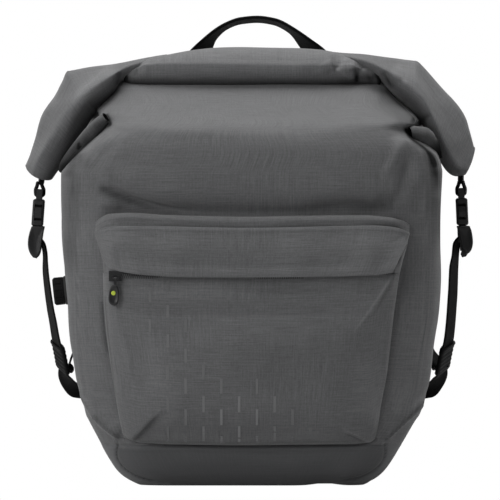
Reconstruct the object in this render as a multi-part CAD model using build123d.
from build123d import *
import math
import os

# Roll-top bicycle pannier bag, in millimetres.
# +Z is up, -Y is the front (pocket) side and +Y faces the rack. Left is -X, right is +X.
# The origin is the centre of the flat base face.

os.makedirs("parts", exist_ok=True)

# ---------------------------------------------------------------- driving dimensions
FABRIC = 1.5               # thickness of the coated fabric panels
BACK_Y = 70.0              # outer face of the flat back panel
BACK_INNER_Y = BACK_Y - FABRIC
BASE_TOP_Z = 35.0          # top seam of the base boot
COLLAR_Z = 300.0           # lower edge of the collar
MOUTH_Z = 343.0            # flattened mouth, under the roll
SEAM_Y = -42.0             # seam between front panel and side panels
SEAM_GAP = 0.05            # each panel stops this far short of its seam

HOOK_X = 80.0              # rack hooks lie at -HOOK_X and +HOOK_X
HOOK_WIDTH = 30.0
HOOK_BORE_R = 8.1
HOOK_WALL = 4.5
TUBE_Y, TUBE_Z = 100.0, 298.0     # centre of the rack tube
LINER_BORE_R = 5.1                # takes a 10 mm rack tube
PIN_Y, PIN_Z = 89.0, 317.0        # latch pin
PIN_R = 1.75
RAIL_Y0, RAIL_Y1 = 70.1, 78.1
RAIL_Z0, RAIL_Z1 = 304.0, 328.0

SIDES = (("left", -1), ("right", 1))
ALONG_X, ALONG_Y, ALONG_Z = (1, 0, 0), (0, 1, 0), (0, 0, 1)
FAR = 500.0                # beyond the bag in every direction


# ---------------------------------------------------------------- helpers
def box(x0=-FAR, x1=FAR, y0=-FAR, y1=FAR, z0=-FAR, z1=FAR):
    """Box between limits; a limit left out lies beyond the bag."""
    return Solid.make_box(x1 - x0, y1 - y0, z1 - z0, Plane(origin=(x0, y0, z0)))


def box_at(origin, x0, x1, y0, y1, z0, z1):
    """Box with its limits measured from origin."""
    x, y, z = origin
    return box(x + x0, x + x1, y + y0, y + y1, z + z0, z + z1)


def prism(points, sweep):
    outline = Wire.make_polygon([Vector(*point) for point in points], close=True)
    return Solid.extrude(Face(outline), Vector(*sweep))


def prism_yz(points, x0, x1):
    return prism([(x0, y, z) for y, z in points], (x1 - x0, 0, 0))


def prism_xz(points, y0, y1):
    return prism([(x, y0, z) for x, z in points], (0, y1 - y0, 0))


def rod(start, axis, radius, length):
    return Solid.make_cylinder(radius, length, Plane(origin=start, z_dir=axis))


def tube(start, axis, bore, radius, length):
    return rod(start, axis, radius, length) - rod(start, axis, bore, length)


def back_hole(x, z, radius):
    """Cutter along Y through everything at the back wall."""
    return rod((x, 50, z), ALONG_Y, radius, 30)


def ribbon(stations, width, thickness):
    """Flat webbing through stations of (point, direction of its width)."""
    points = [Vector(point) for point, _ in stations]
    last = len(points) - 1
    wires = []
    for i, (_, width_dir) in enumerate(stations):
        tangent = (points[min(i + 1, last)] - points[max(i - 1, 0)]).normalized()
        across = Vector(width_dir)
        across = (across - tangent * across.dot(tangent)).normalized()
        normal = tangent.cross(across).normalized()
        corners = [points[i] + across * (width / 2) * j + normal * (thickness / 2) * k
                   for j, k in ((-1, -1), (1, -1), (1, 1), (-1, 1))]
        wires.append(Wire.make_polygon(corners, close=True))
    return Solid.make_loft(wires, ruled=True)


def largest(shape):
    return max(shape.solids(), key=lambda solid: solid.volume)


def save(name, *shapes):
    """Write one STEP file, leaving out slivers from the booleans."""
    pieces = [solid for shape in shapes for solid in shape.solids() if solid.volume > 0.5]
    assert pieces, name
    part = pieces[0] if len(pieces) == 1 else Compound(children=pieces)
    part.label = name
    export_step(part, f"parts/{name}.step")


# ---------------------------------------------------------------- bag shell
# z, half width, front y, corner radius, half width at the back, back y
SECTIONS = [
    (0.0, 98.0, -54.0, 26.0, 92.0, 80.0),
    (5.0, 107.0, -62.0, 30.0, 101.0, 80.0),
    (14.0, 116.0, -68.0, 34.0, 110.0, 80.0),
    (30.0, 126.0, -71.5, 36.0, 120.0, 80.0),
    (60.0, 142.0, -76.0, 38.0, 136.0, 80.0),
    (110.0, 154.5, -81.0, 40.0, 149.0, 80.0),
    (170.0, 161.0, -85.0, 40.0, 156.0, 80.0),
    (235.0, 163.5, -86.0, 40.0, 158.0, 80.0),
    (268.0, 161.0, -84.0, 40.0, 155.0, 80.0),
    (COLLAR_Z, 142.0, -73.0, 36.0, 137.0, 80.0),
    (318.0, 129.5, -59.0, 28.0, 126.0, 80.0),
    (333.0, 115.0, -36.0, 16.0, 112.0, 56.0),
    (MOUTH_Z, 99.0, -10.0, 6.0, 97.0, 26.0),
]
# x, z of the part of the collar that carries on up the back, behind the rail
COLLAR_BACK = [
    (-137.5, COLLAR_Z + SEAM_GAP), (137.5, COLLAR_Z + SEAM_GAP), (126.5, 318),
    (119.5, 326.5), (-119.5, 326.5), (-126.5, 318),
]
BACK_OVERLAP = 0.3         # boot and collar backs reach this far in, to join the shell


def section_wire(z, half_width, front_y, radius, half_back, back_y, inset_by=0.0):
    """D-shaped section with two rounded front corners, moved inwards by inset_by."""
    half_width, half_back = half_width - inset_by, half_back - inset_by
    front_y, radius = front_y + inset_by, max(radius - inset_by, 2.0)
    bend = radius * (1 - math.sqrt(0.5))
    back_left, back_right = (-half_back, back_y, z), (half_back, back_y, z)
    side_left, side_right = [(x, front_y + radius, z) for x in (-half_width, half_width)]
    front_left = (-half_width + radius, front_y, z)
    front_right = (half_width - radius, front_y, z)
    mid_left, mid_right = [(x, front_y + bend, z) for x in (-half_width + bend, half_width - bend)]
    return Wire([
        Edge.make_line(back_left, side_left),
        Edge.make_three_point_arc(side_left, mid_left, front_left),
        Edge.make_line(front_left, front_right),
        Edge.make_three_point_arc(front_right, mid_right, side_right),
        Edge.make_line(side_right, back_right),
        Edge.make_line(back_right, back_left),
    ])


outer = Solid.make_loft([section_wire(*section) for section in SECTIONS], ruled=True)
# the inner loft starts above the base and runs out through the mouth
inner_sections = [(FABRIC,) + SECTIONS[0][1:]] + SECTIONS[1:-1]
inner_sections += [(MOUTH_Z + 2.0,) + SECTIONS[-1][1:]]
inner = Solid.make_loft(
    [section_wire(*section, inset_by=FABRIC) for section in inner_sections], ruled=True)
shell = (outer & box(y1=BACK_INNER_Y)) - inner

middle = shell & box(z0=BASE_TOP_Z + SEAM_GAP, z1=COLLAR_Z - SEAM_GAP)
save("front_panel", middle & box(y1=SEAM_Y - SEAM_GAP))
side_walls = middle & box(y0=SEAM_Y + SEAM_GAP)
left_side = side_walls & box(x1=-1)
save("right_side_panel", side_walls & box(x0=1))

# outline of the flat back, following the sides of the sections at BACK_Y
back_right_edge = [
    (half_back + (half_width - half_back) * (back_y - BACK_Y) / (back_y - (front_y + radius)) - 0.2, z)
    for z, half_width, front_y, radius, half_back, back_y in SECTIONS if 5.0 <= z <= COLLAR_Z
]
back_outline = back_right_edge + [(-x, z) for x, z in reversed(back_right_edge)]
back_panel = (prism_xz(back_outline, BACK_INNER_Y + SEAM_GAP, BACK_Y)
              & box(z0=BASE_TOP_Z + SEAM_GAP, z1=COLLAR_Z - SEAM_GAP))
boot_back = (prism_xz(back_outline, BACK_INNER_Y - BACK_OVERLAP, BACK_Y)
             & box(z1=BASE_TOP_Z - SEAM_GAP))
save("base_boot", (shell & box(z1=BASE_TOP_Z - SEAM_GAP)) + boot_back)
collar = shell & box(z0=COLLAR_Z + SEAM_GAP)
collar = collar + prism_xz(COLLAR_BACK, BACK_INNER_Y - BACK_OVERLAP, BACK_Y)

# stiff board lying inside on the base
save("base_board", box(-90, 90, -46, 58, FABRIC + 0.3, FABRIC + 3.3))

# ---------------------------------------------------------------- air valve, in the left side
VALVE_CENTRE = Vector(-160.7, -18.0, 167.0)
VALVE_TILT = math.radians(6.2)
VALVE_AXIS = Vector(-math.cos(VALVE_TILT), 0, -math.sin(VALVE_TILT))    # points outwards
VALVE_ACROSS = Vector(math.sin(VALVE_TILT), 0, -math.cos(VALVE_TILT))
CAP_R = 12.0
CAP_HEIGHT = 6.2           # below the bevel
CAP_BEVEL = 1.6
CAP_GRIPS = 12


def valve_point(height):
    return VALVE_CENTRE + VALVE_AXIS * height


def valve_rod(height, radius, length):
    return rod(valve_point(height), VALVE_AXIS, radius, length)


def valve_tube(height, bore, radius, length):
    return tube(valve_point(height), VALVE_AXIS, bore, radius, length)


def valve_cap():
    top = Plane(origin=valve_point(1.9 + CAP_HEIGHT), z_dir=VALVE_AXIS)
    cap = valve_rod(1.9, CAP_R, CAP_HEIGHT)
    cap = cap + Solid.make_cone(CAP_R, CAP_R - CAP_BEVEL, CAP_BEVEL, top)
    cap = cap - valve_rod(1.8, 9.0, 5.0)
    for i in range(CAP_GRIPS):
        angle = 2 * math.pi * i / CAP_GRIPS
        radial = VALVE_ACROSS * math.cos(angle) + Vector(0, 1, 0) * math.sin(angle)
        cap = cap - rod(valve_point(1.0) + radial * (CAP_R + 0.5), VALVE_AXIS, 1.3, 7.5)
    return cap


save("left_side_panel", left_side - valve_rod(-20, 7.4, 40))
save("valve_flange", valve_tube(0.35, 6.0, 11.9, 1.4) + valve_tube(-9.0, 4.6, 6.9, 10.4))
save("valve_cap", valve_cap())
save("valve_seal", valve_tube(2.0, 6.4, 8.6, 2.6))
save("valve_ring_nut", valve_tube(-8.5, 7.0, 12.5, 4.6))

# ---------------------------------------------------------------- roll
ROLL_Y, ROLL_Z = 8.0, 359.5
ROLL_A, ROLL_B = 21.5, 13.5       # half axes of the oval
ROLL_TILT = math.radians(-26.0)   # front edge up
ROLL_HALF = 95.0                  # half length


def roll_point(major, minor):
    """y, z of a point given along the two axes of the tilted oval."""
    cos, sin = math.cos(ROLL_TILT), math.sin(ROLL_TILT)
    return ROLL_Y + major * cos - minor * sin, ROLL_Z + major * sin + minor * cos


def oval_wire(x, major, minor, count=28):
    angles = [2 * math.pi * i / count for i in range(count)]
    points = [Vector(x, *roll_point(major * math.cos(angle), minor * math.sin(angle)))
              for angle in angles]
    return Wire.make_polygon(points, close=True)


def oval_bar(half_length, major, minor):
    wires = [oval_wire(x, major, minor) for x in (-half_length, half_length)]
    return Solid.make_loft(wires, ruled=True)


def roll_slab(half_length, major, minor):
    corners = ((-major, -minor), (major, -minor), (major, minor), (-major, minor))
    return prism_yz([roll_point(*corner) for corner in corners], -half_length, half_length)


save("centre_roll",
     oval_bar(ROLL_HALF, ROLL_A, ROLL_B) - oval_bar(ROLL_HALF + 1, ROLL_A - 4, ROLL_B - 4))
save("roll_inner_turn",
     oval_bar(ROLL_HALF, ROLL_A - 4.6, ROLL_B - 4.6) - roll_slab(ROLL_HALF + 1, 13.2, 1.9))
save("roll_stiffener", roll_slab(ROLL_HALF - 3, 12.5, 1.25))

# ---------------------------------------------------------------- rolled ends, folded down
CREASE_X, CREASE_Z = 112.0, 353.0     # |x|, z of the crease where a rolled end folds down
KNUCKLE_R = 13.5
END_Y0, END_Y1 = -11.0, 27.0
END_CHAMFER = 6.0
# x, z outlines
END_OUTLINES = {
    "left": [
        (-104.0, 365.0), (-158.0, 357.0), (-170.0, 337.0), (-179.0, 318.0), (-187.0, 298.0),
        (-194.0, 276.0), (-183.0, 267.0), (-172.0, 262.5), (-166.0, 268.0), (-158.0, 281.0),
        (-147.0, 301.0), (-135.0, 319.0), (-119.0, 338.0),
    ],
    "right": [
        (104.0, 365.5), (142.0, 364.5), (159.0, 345.0), (174.0, 330.0), (184.5, 314.0),
        (189.0, 301.0), (192.5, 291.0), (186.5, 271.5), (182.0, 266.0), (172.0, 264.0),
        (166.0, 270.0), (158.0, 284.0), (147.0, 303.0), (135.0, 321.0), (119.0, 339.0),
    ],
}


def rolled_end(name, side):
    outboard = box(x1=-CREASE_X) if side < 0 else box(x0=CREASE_X)
    body = prism_xz(END_OUTLINES[name], END_Y0, END_Y1) & outboard
    # round knuckle about the crease, so that the end can turn beside the centre roll
    body = body + rod((side * CREASE_X, END_Y0, CREASE_Z), ALONG_Y, KNUCKLE_R, END_Y1 - END_Y0)
    # a chamfer this wide may fail where the knuckle meets the outline: then edges stay sharp
    try:
        solid = body.solids()[0]
        rim = [edge for edge in solid.edges()
               if min(abs(edge.center().Y - y) for y in (END_Y0, END_Y1)) < 0.01]
        body = solid.chamfer(END_CHAMFER, None, rim)
    except Exception:
        pass
    return body


# ---------------------------------------------------------------- side-release buckles
# Local frame: hanging down from the centre of the webbing bar, width along Y, thickness along X.
BUCKLE_Y = 8.0
# x and z of the webbing bar, tilt about Y, turn about Z
BUCKLES = {"left": (-182.6, 252.0, 4.0, 0), "right": (181.5, 253.0, -2.5, 180)}
PLUG_HALF = 13.5           # half width of the plug
# x, z of the thumb lip at the foot of the plug
LIP = [(-4.6, -52.6), (-1.6, -57.0), (1.6, -57.6), (2.6, -55.0), (1.4, -51.5), (-2.6, -49.5)]
# |y|, z of a prong, from its root up the inner side of the buckle's edge and back
PRONG = [(7.0, -32.9), (10.0, -32.9), (10.4, -24.2), (14.4, -22.6), (14.9, -18.0),
         (14.2, -13.6), (10.6, -12.2), (8.0, -12.4), (7.4, -22.0)]
PRONG_HALF = 2.9           # half thickness
# x, z of the webbing loop round the bar, with two plies running up into the rolled end
TAB = [(-4.6, -1.0), (-4.0, 3.2), (-1.7, 8.5), (-1.7, 15.5), (1.7, 15.5), (1.7, 8.5),
       (4.0, 3.2), (4.6, -1.0), (3.4, -3.8), (0, -4.8), (-3.4, -3.8)]
TAB_HOLE = [(-3.1, -1.0), (-2.9, 2.6), (0, 7.2), (2.9, 2.6), (3.1, -1.0),
            (2.6, -2.6), (0, -3.2), (-2.6, -2.6)]
WEBBING_WIDTH = 20.0
WEBBING_THICKNESS = 1.6


def centred(half_x, half_y, z0, z1):
    return box(-half_x, half_x, -half_y, half_y, z0, z1)


def y_pair(half_x, near, far, z0, z1):
    """Two boxes at -Y and +Y, from |y| = near to far."""
    return [box(-half_x, half_x, y0, y1, z0, z1) for y0, y1 in ((-far, -near), (near, far))]


def buckle_socket():
    socket = centred(5.0, 14, -30, -6.5)
    socket = socket.fillet(2.0, socket.edges())
    frame = centred(2.6, 13, -8, 2.2) - centred(4, 10.6, -6.2, -1.9)
    socket = socket + frame - centred(3.3, 11.6, -40, -9)       # cavity, open at the mouth
    for window in y_pair(3.3, 11.0, 20, -25.0, -11.0):
        socket = socket - window
    return socket


def buckle_plug():
    plug = centred(4.5, PLUG_HALF, -45, -30.6)
    plug = plug.fillet(1.6, plug.edges())
    plug = plug + centred(2.2, 2.6, -31, -14)                   # centre tongue
    plug = plug - centred(6, 10.4, -41.0, -36.0)                # webbing slot
    for cheek in y_pair(3.0, 10.6, PLUG_HALF, -52, -44):
        plug = plug + cheek
    plug = plug + box(-2.6, 1.2, -PLUG_HALF, PLUG_HALF, -52.5, -49.0)
    plug = plug + prism_xz(LIP, -PLUG_HALF, PLUG_HALF)
    for prong_seat in y_pair(3.4, 6.2, 10.9, -33.4, -30.0):
        plug = plug - prong_seat
    return plug


def prong(side):
    return prism_yz([(side * y, z) for y, z in PRONG], -PRONG_HALF, PRONG_HALF)


def buckle_tab():
    half = WEBBING_WIDTH / 2
    return prism_xz(TAB, -half, half) - prism_xz(TAB_HOLE, -half - 1, half + 1)


def placed(shape, x, z, tilt, turn):
    turned = shape.moved(Location((0, 0, 0), (0, 0, turn)))
    return turned.moved(Location((x, BUCKLE_Y, z), (0, tilt, 0)))


socket, plug = buckle_socket(), buckle_plug()
for name, side in SIDES:
    place = BUCKLES[name]
    end = rolled_end(name, side)
    save(f"{name}_rolled_end", end)
    save(f"{name}_buckle_tab", largest(placed(buckle_tab(), *place) - end))
    save(f"{name}_buckle_socket", placed(socket, *place))
    save(f"{name}_buckle_plug", placed(plug, *place))
    # the half turn of the right buckle swaps its prongs
    save(f"{name}_front_prong", placed(prong(side), *place))
    save(f"{name}_rear_prong", placed(prong(-side), *place))

# ---------------------------------------------------------------- side straps and lower anchors
# upper strap stations: point, share of the adjuster's width direction (the rest is +Y)
STRAP_TOPS = {
    "left": [((-179.3, 8, 200), 0), ((-178.0, 9, 186), 0), ((-176.0, 15, 168), 0.1),
             ((-173.2, 23.5, 150), 0.2), ((-171.6, 29.5, 137), 0.35)],
    "right": [((176.4, 8, 201), 0), ((175.6, 9, 187), 0), ((174.9, 15, 168), 0.1),
              ((173.6, 23.5, 150), 0.2), ((172.0, 29.5, 137), 0.35)],
}
# where the strap threads the adjuster: distance up the strap, distance out from the bag
STRAP_THREAD = [(9, -2.0), (2, -2.2), (-4.6, -2.2), (-9.4, 2.2), (-14.4, 2.2), (-16.9, 0.2)]
# anchor legs below the adjuster, right side: point, width direction
LOWER_LEG = [((157.5, 62, 85.5), (-0.45, 0.6, 0.66)), ((149.5, 71.3, 76.5), (-0.65, 0.1, 0.75)),
             ((137.5, 70.95, 66), (-0.65, 0, 0.75))]
UPPER_LEG = [((158.5, 61.0, 99.5), (0.3, 0.7, 0.8)), ((152.0, 71.3, 107.0), (0.35, 0.1, 0.9)),
             ((139.0, 70.95, 112.0), (0.36, 0, 0.93))]


def strap_adjuster():
    """Two-slot plate, X across the webbing, Y up the strap, Z away from the bag."""
    plate = box(-14, 14, -24, 0, -1.2, 1.2)
    plate = plate.fillet(0.9, plate.edges())
    return plate - box(-10.8, 10.8, -10, -4, -3, 3) - box(-10.8, 10.8, -20, -14, -3, 3)


def strap_set(name, side):
    """Strap, adjuster and lower anchor of one side."""
    origin = Vector(side * 168.6, 38.6, 118.0)
    up_strap = Vector(side * 0.175, -0.42, 0.89).normalized()
    outward = Vector(side, 0, 0)
    outward = (outward - up_strap * outward.dot(up_strap)).normalized()
    frame_x = up_strap.cross(outward)
    frame = Plane(origin=origin, x_dir=frame_x, z_dir=outward).location
    across = frame_x * side        # points to +Y on both sides

    def leg(stations, width):
        path = [(origin + up_strap * -28.2, across)]
        for (x, y, z), (dir_x, dir_y, dir_z) in stations:
            path.append(((side * x, y, z), (side * dir_x, dir_y, dir_z)))
        return ribbon(path, width, WEBBING_THICKNESS)

    path = [(point, Vector(0, 1, 0) * (1 - share) + across * share)
            for point, share in STRAP_TOPS[name]]
    path += [(origin + up_strap * up + outward * out, across) for up, out in STRAP_THREAD]
    strap = ribbon(path, WEBBING_WIDTH, WEBBING_THICKNESS)
    loop = box(-8, 8, -29.4, -18.4, -3.0, 3.0) - box(-9, 9, -24.4, -19.6, -1.6, 1.6)
    anchor = loop.moved(frame) + leg(LOWER_LEG, 15) + leg(UPPER_LEG, 12)
    return strap, strap_adjuster().moved(frame), anchor


straps, adjusters, anchors = zip(*[strap_set(name, side) for name, side in SIDES])
for (name, _), strap in zip(SIDES, straps):
    save(f"{name}_side_strap", strap)
save("strap_adjusters", *adjusters)
save("lower_anchors", *anchors)

# ---------------------------------------------------------------- pocket
POCKET_Y = -104.0
ZIP_Z = 180.5
ZIP_OPENING = 4.5          # half height of the gap in the pocket face
# x, z outline, clockwise seen from the front
POCKET = [
    (-110.0, 37.0), (-126.0, 155.0), (-133.0, 205.0), (-136.0, 221.0), (-126.0, 228.0),
    (126.0, 228.0), (136.0, 221.0), (133.0, 205.0), (126.0, 155.0), (109.0, 37.0),
]
POCKET_BACK_Y = -40
# y, z profile: the lower part of the pocket leans back towards the boot
POCKET_PROFILE = [
    (POCKET_BACK_Y, 20), (POCKET_Y + 11.0, 20), (POCKET_Y + 11.0, 37), (POCKET_Y + 2.5, 62),
    (POCKET_Y, 84), (POCKET_Y, 240), (POCKET_BACK_Y, 240),
]
# x, z outline of the storm flap, which leans forward from its top edge
FLAP_TOP_Z = 225.5
FLAP = [
    (-128.0, FLAP_TOP_Z), (-133.5, 221.0), (-131.0, 205.0), (-126.0, 190.0), (-116.0, 183.0),
    (-70.0, 180.0), (0.0, 178.6), (80.0, 179.6), (112.0, 183.0), (124.0, 192.0),
    (130.0, 206.0), (133.5, 221.0), (128.0, FLAP_TOP_Z),
]
FLAP_LEAN = 0.135          # forward per mm down


def inset(outline, distance):
    """Move every edge of a clockwise outline inwards."""
    moved = []
    for i, (x, z) in enumerate(outline):
        last_x, last_z = outline[i - 1]
        next_x, next_z = outline[(i + 1) % len(outline)]
        before = Vector(z - last_z, last_x - x).normalized()
        after = Vector(next_z - z, x - next_x).normalized()
        shift = (before + after) * (distance / (1 + before.dot(after)))
        moved.append((x + shift.X, z + shift.Y))
    return moved


inner_profile = [(y if y == POCKET_BACK_Y else y + FABRIC, z) for y, z in POCKET_PROFILE]
pocket_block = prism_xz(POCKET, POCKET_BACK_Y, -130) & prism_yz(POCKET_PROFILE, -200, 200)
pocket_core = prism_xz(inset(POCKET, FABRIC), POCKET_BACK_Y, -130)
save("pocket_gusset", (pocket_block - pocket_core - outer) & box(y1=-66))
pocket_face = (pocket_block & pocket_core) - prism_yz(inner_profile, -200, 200)
save("pocket_panel", pocket_face & box(z1=ZIP_Z - ZIP_OPENING))
save("pocket_upper_strip", pocket_face & box(z0=ZIP_Z + ZIP_OPENING))
save("storm_flap",
     prism([(x, POCKET_Y - 1.6 - (FLAP_TOP_Z - z) * FLAP_LEAN, z) for x, z in FLAP], (0, -1.4, 0)))

# ---------------------------------------------------------------- zip
ZIP_HALF = 124.0           # half length
TAPE_Y = POCKET_Y + FABRIC
COIL_Y = TAPE_Y + 0.45
COIL_HALF = ZIP_HALF - 2.2
SLIDER = (-116.0, COIL_Y, ZIP_Z)
HINGE = (SLIDER[0], COIL_Y - 5.9, ZIP_Z - 2.6)    # axis on which the pull swings
# x, z of the pull tab, from the hinge
PULL_TAB = [(-3.0, -5.2), (3.0, -5.2), (4.8, -8.0), (4.6, -17.5),
            (1.4, -23.0), (-1.4, -23.0), (-4.6, -17.5), (-4.8, -8.0)]


def hinge_start(width):
    return (HINGE[0] - width / 2, HINGE[1], HINGE[2])


def zip_slider():
    body = box_at(SLIDER, -5.5, 5.5, -3.6, 3.4, -4.4, 4.4)
    body = body - box_at(SLIDER, -7, 7, -2.1, 2.1, -3.0, 3.0)             # coil channel
    body = body - box_at(SLIDER, -7, 7, -0.6, 0.9, -6, 6)                 # slots for the tapes
    body = body + box_at(SLIDER, 0.8, 4.6, -3.0, 2.8, -0.32, 0.32)        # post between the coils
    bail = box_at(SLIDER, -3.2, 3.2, -7.1, -3.4, -4.4, 0.4)
    bail = bail - box_at(SLIDER, -1.7, 1.7, -9, -3.55, -6, 2)
    return body + (bail + rod(hinge_start(6.4), ALONG_X, 0.7, 6.4))


def zip_pull_tab():
    outline = [(HINGE[0] + x, HINGE[2] + z) for x, z in PULL_TAB]
    tab = prism_xz(outline, HINGE[1] - 1.7, HINGE[1] + 1.7)
    return tab - box_at(HINGE, -1.25, 1.25, -0.95, 0.95, -6.55, 0)


save("zip_tapes",
     *[box(-121, 121, TAPE_Y + 0.1, TAPE_Y + 0.8, ZIP_Z + z0, ZIP_Z + z1)
       for z0, z1 in ((2.55, 13), (-13, -2.55))])
save("zip_coil",
     *[rod((-COIL_HALF, COIL_Y, ZIP_Z + z), ALONG_X, 1.0, 2 * COIL_HALF) for z in (1.45, -1.45)])
save("zip_end_stops",
     *[box(x0, x1, TAPE_Y - 1.9, TAPE_Y + 2.7, ZIP_Z - 1.8, ZIP_Z + 1.8)
       for x0, x1 in ((-ZIP_HALF - 1.2, -ZIP_HALF + 2.0), (ZIP_HALF - 2.0, ZIP_HALF + 1.2))])
save("zip_slider", zip_slider())
save("zip_pull_loop",
     tube(hinge_start(2.4), ALONG_X, 0.78, 1.9, 2.4)
     + box_at(HINGE, -1.2, 1.2, -0.9, 0.9, -6.5, -1.3))
save("zip_pull_tab", zip_pull_tab())

# ---------------------------------------------------------------- rack rail and its screws
SCREW_XS = (-108.0, -36.0, 36.0, 108.0)
SCREW_Z = 316.0
SCREW_HOLE_R = 2.6
HEAD_Y = RAIL_Y1 - 3.1     # underside of the screw heads
SHANK_Y = 58               # inner end of the screws


def rail_screw(x):
    corners = [math.radians(60 * k) for k in range(6)]
    socket_outline = [(x + 1.7 * math.cos(angle), SCREW_Z + 1.7 * math.sin(angle))
                      for angle in corners]
    head = rod((x, HEAD_Y, SCREW_Z), ALONG_Y, 4.5, 2.6)
    head = head - prism_xz(socket_outline, RAIL_Y1 - 2.2, RAIL_Y1 + 1.8)
    return head + rod((x, SHANK_Y, SCREW_Z), ALONG_Y, 2.4, HEAD_Y - SHANK_Y + 0.1)


rail = box(-118, 118, RAIL_Y0, RAIL_Y1, RAIL_Z0, RAIL_Z1)
rail = rail.fillet(2.0, [edge for edge in rail.edges() if abs(edge.center().Y - RAIL_Y1) < 0.01])
backing = box(-116, 116, BACK_INNER_Y - 3.4, BACK_INNER_Y - 0.5, 306, 326)
for x in SCREW_XS:
    rail = rail - rod((x, RAIL_Y0 - 1, SCREW_Z), ALONG_Y, SCREW_HOLE_R, 12)
    rail = rail - rod((x, RAIL_Y1 - 3.2, SCREW_Z), ALONG_Y, 4.8, 8)       # counterbore
    collar = collar - back_hole(x, SCREW_Z, SCREW_HOLE_R)
    backing = backing - back_hole(x, SCREW_Z, SCREW_HOLE_R)
save("top_rail", rail)
save("collar", collar)
save("rail_backing_strip", backing)
save("rail_screws", *[rail_screw(x) for x in SCREW_XS])
save("rail_nuts",
     *[tube((x, BACK_INNER_Y - 7.6, SCREW_Z), ALONG_Y, 2.45, 4.6, 4.0) for x in SCREW_XS])

# ---------------------------------------------------------------- rack hooks and latches
CHANNEL_HALF = 11.2        # half width of the hook's channel for latch and webbing
# y, z side view of the latch blade, from the pin down to the nose under the tube and back
BLADE = [
    (PIN_Y - 2.5, PIN_Z + 1), (PIN_Y - 2.9, 286), (PIN_Y - 2.2, 284.0), (PIN_Y + 10.0, 284.4),
    (TUBE_Y + 1.4, 287.5), (TUBE_Y + 1.8, 291.6), (TUBE_Y - 2.0, 292.2), (PIN_Y + 2.0, 290.2),
    (PIN_Y + 0.6, 292), (PIN_Y + 0.6, 305), (PIN_Y + 2.6, PIN_Z - 2),
]
SPRING_TURNS = 4
SPRING_PITCH = 1.75


def hook(centre_x):
    x0, x1 = centre_x - HOOK_WIDTH / 2, centre_x + HOOK_WIDTH / 2
    front_y, rear_y = TUBE_Y - HOOK_BORE_R, TUBE_Y + HOOK_BORE_R
    body = rod((x0, TUBE_Y, TUBE_Z), ALONG_X, HOOK_BORE_R + HOOK_WALL, HOOK_WIDTH)
    body = body + box(x0, x1, rear_y, rear_y + HOOK_WALL, TUBE_Z - 16, TUBE_Z)
    body = body + box(x0, x1, RAIL_Y1 + 0.1, front_y, TUBE_Z - 12, TUBE_Z + 30)
    body = body - box(x0 - 1, x1 + 1, front_y, rear_y, TUBE_Z - 20, TUBE_Z)
    body = body - rod((x0 - 1, TUBE_Y, TUBE_Z), ALONG_X, HOOK_BORE_R, HOOK_WIDTH + 2)
    # lips that grip the rail above and below
    for z0, z1 in ((RAIL_Z1 + 0.15, RAIL_Z1 + 4.0), (RAIL_Z0 - 4.0, RAIL_Z0 - 0.15)):
        body = body + box(x0, x1, RAIL_Y1 - 6.5, RAIL_Y1 + 0.2, z0, z1)
    body = body + box(x0, x1, RAIL_Y1 + 0.1, RAIL_Y1 + 6.0, TUBE_Z + 29, RAIL_Z1 + 4.0)
    # channel for latch and webbing, deeper above the tube
    for y1, z0 in ((front_y + 0.6, TUBE_Z - 30), (TUBE_Y - 5.0, TUBE_Z + 11.5)):
        body = body - box(centre_x - CHANNEL_HALF, centre_x + CHANNEL_HALF,
                          RAIL_Y1 - 10, y1, z0, 400)
    return body - rod((x0 - 1, PIN_Y, PIN_Z), ALONG_X, PIN_R + 0.05, HOOK_WIDTH + 2)


def liner(centre_x):
    width = HOOK_WIDTH + 1.2
    x0 = centre_x - width / 2
    body = rod((x0, TUBE_Y, TUBE_Z), ALONG_X, HOOK_BORE_R - 0.05, width)
    body = body - rod((x0 - 1, TUBE_Y, TUBE_Z), ALONG_X, LINER_BORE_R, width + 2)
    return body - box(x0 - 1, x0 + width + 1, TUBE_Y - 20, TUBE_Y + 20, TUBE_Z - 30, TUBE_Z)


def latch(centre_x):
    pin = (centre_x, PIN_Y, PIN_Z)
    body = prism_yz(BLADE, centre_x - 8, centre_x + 8)
    body = body + rod((centre_x - 8, PIN_Y, PIN_Z), ALONG_X, 3.6, 16)
    body = body + box_at(pin, -10, 10, -8.6, -2.0, -0.2, 2.6)
    # room for the spring
    body = body - rod((centre_x - 3.8, PIN_Y, PIN_Z), ALONG_X, 4.3, 7.6)
    body = body - box_at(pin, -3.8, 3.8, -20, 20, -4.5, 20)
    body = body - rod((centre_x - 20, PIN_Y, PIN_Z), ALONG_X, PIN_R + 0.08, 40)
    return body + box_at(pin, -10, 10, -8.6, -5.6, -0.2, 2.6)     # crossbar at the front


def spring(centre_x):
    """Separate rings, each joined to the next by a bridge on top."""
    starts = [(centre_x - 3.3 + i * SPRING_PITCH, PIN_Y, PIN_Z) for i in range(SPRING_TURNS)]
    rings = [tube(start, ALONG_X, 2.1, 3.2, 1.1) for start in starts]
    body = rings[0]
    for start, ring in zip(starts, rings[1:]):
        body = body + ring + box_at(start, 0.4, 2.4, -0.6, 0.6, 2.2, 3.1)
    return body


for name, side in SIDES:
    save(f"{name}_rack_hook", hook(side * HOOK_X))
    save(f"{name}_latch", latch(side * HOOK_X))
hook_centres = (-HOOK_X, HOOK_X)
save("hook_liners", *[liner(x) for x in hook_centres])
save("latch_springs", *[spring(x) for x in hook_centres])
save("latch_pins",
     *[rod((x - HOOK_WIDTH / 2, PIN_Y, PIN_Z), ALONG_X, PIN_R, HOOK_WIDTH) for x in hook_centres])

# ---------------------------------------------------------------- carry handle, latch to latch
HANDLE_Y = PIN_Y - 7.6
CREST_X = 5.0
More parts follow.
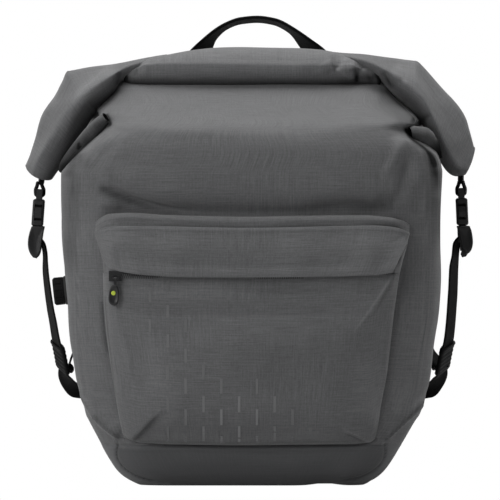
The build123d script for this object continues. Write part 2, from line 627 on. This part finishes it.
# x, z, width direction; each half runs from its latch up to the crest
CREST = (CREST_X, 400.0, (0, 1, 0))
HANDLE_HALVES = [
    [(-HOOK_X, 320.6, (1, 0, 0)), (-HOOK_X, 333.5, (1, 0, 0)), (-HOOK_X + 4.5, 345, (1, 0, -0.35)),
     (-64.5, 357.5, (0.8, 0.3, -0.6)), (-48.5, 371.5, (0.55, 0.65, -0.5)),
     (-31.5, 385.5, (0.25, 0.95, -0.15)), (-12.5, 396.0, (0.05, 1, 0)), CREST],
    [(HOOK_X, 320.6, (-1, 0, 0)), (HOOK_X, 333.5, (-1, 0, 0)), (HOOK_X - 3.8, 345, (-1, 0, -0.35)),
     (67.5, 357.5, (-0.8, 0.3, -0.6)), (57.0, 369.5, (-0.55, 0.65, -0.5)),
     (CREST_X + 36.5, 385.5, (-0.25, 0.95, -0.15)), (CREST_X + 17.5, 396.8, (-0.05, 1, 0)), CREST],
]
save("carry_handle",
     *[ribbon([((x, HANDLE_Y, z), width_dir) for x, z, width_dir in stations], 20, 2.4)
       for stations in HANDLE_HALVES])

# ---------------------------------------------------------------- lower stabiliser
STAB_Z = 110.0
STRUT_X, STRUT_Y = 62.0, 92.0     # rack strut held by the stabiliser
STRUT_R = 6.1
PLATE_HALF_X, PLATE_HALF_Z = 46, 17
STAB_SCREW_XS = (-36, 36)
ARM_Y = BACK_Y + 6.3
ARM_HALF_Z = 9
KNOB_FLUTES = 10


def y_rod(y, radius, length, x=0):
    """Rod along +Y at the stabiliser's height."""
    return rod((x, y, STAB_Z), ALONG_Y, radius, length)


def strut_rod(radius, half_length):
    return rod((STRUT_X, STRUT_Y, STAB_Z - half_length), ALONG_Z, radius, 2 * half_length)


def strut_opening():
    return box_at((STRUT_X, STRUT_Y, STAB_Z), -3.0, 30, 3.0, 30, -20, 20)


def stabiliser_plate():
    plate = box(-PLATE_HALF_X, PLATE_HALF_X, BACK_Y + 0.1, BACK_Y + 4.1,
                STAB_Z - PLATE_HALF_Z, STAB_Z + PLATE_HALF_Z)
    corners = [edge for edge in plate.edges()
               if abs(abs(edge.center().X) - PLATE_HALF_X) < 0.01
               and abs(abs(edge.center().Z - STAB_Z) - PLATE_HALF_Z) < 0.01]
    plate = plate.fillet(8.0, corners)
    plate = plate + y_rod(BACK_Y + 4.0, 11, 2.0) - y_rod(BACK_Y - 2, 3.1, 20)
    for x in STAB_SCREW_XS:
        plate = plate - y_rod(BACK_Y - 1, 2.2, 8, x) - y_rod(BACK_Y + 2.2, 4.2, 4, x)
    return plate


def stabiliser_arm():
    z0, z1 = STAB_Z - ARM_HALF_Z, STAB_Z + ARM_HALF_Z
    arm = box(-0.01, 50, ARM_Y, ARM_Y + 5.0, z0, z1) + y_rod(ARM_Y, 13, 5.0)
    arm = arm + strut_rod(STRUT_R + 4.6, ARM_HALF_Z)
    arm = arm + box(44, STRUT_X, ARM_Y, BACK_Y + 15.0, z0, z1)
    arm = arm - strut_rod(STRUT_R + 1.6, 20) - strut_opening()
    return largest(arm - y_rod(60, 4.1, 40))


def stabiliser_pad():
    pad = strut_rod(STRUT_R + 1.55, ARM_HALF_Z + 0.6) - strut_rod(STRUT_R, 20)
    return largest(pad - strut_opening())


def stabiliser_knob():
    knob = y_rod(BACK_Y + 11.5, 10.5, 6.5)
    for i in range(KNOB_FLUTES):
        angle = 2 * math.pi * i / KNOB_FLUTES
        start = (11.6 * math.cos(angle), BACK_Y + 11.0, STAB_Z + 11.6 * math.sin(angle))
        knob = knob - rod(start, ALONG_Y, 2.0, 8)
    return knob + y_rod(BACK_Y + 6.2, 4.0, 6.0) + y_rod(60.5, 2.9, 16)


back_board = box(-112, 112, BACK_INNER_Y - 3.2, BACK_INNER_Y - 0.5, 42, 292)
for x, radius in [(x, 2.2) for x in STAB_SCREW_XS] + [(0, 3.1)]:
    back_panel = back_panel - back_hole(x, STAB_Z, radius)
    back_board = back_board - back_hole(x, STAB_Z, radius)
save("back_panel", back_panel)
save("back_board", back_board)
save("stabiliser_plate", stabiliser_plate())
save("stabiliser_screws",
     *[y_rod(BACK_Y + 2.3, 3.9, 1.7, x) + y_rod(BACK_INNER_Y - 5.5, 2.0, 9.4, x)
       for x in STAB_SCREW_XS])
save("stabiliser_arm", stabiliser_arm())
save("stabiliser_pad", stabiliser_pad())
save("stabiliser_knob", stabiliser_knob())
save("stabiliser_nut", tube((0, 60.6, STAB_Z), ALONG_Y, 2.95, 7.0, 4.2))
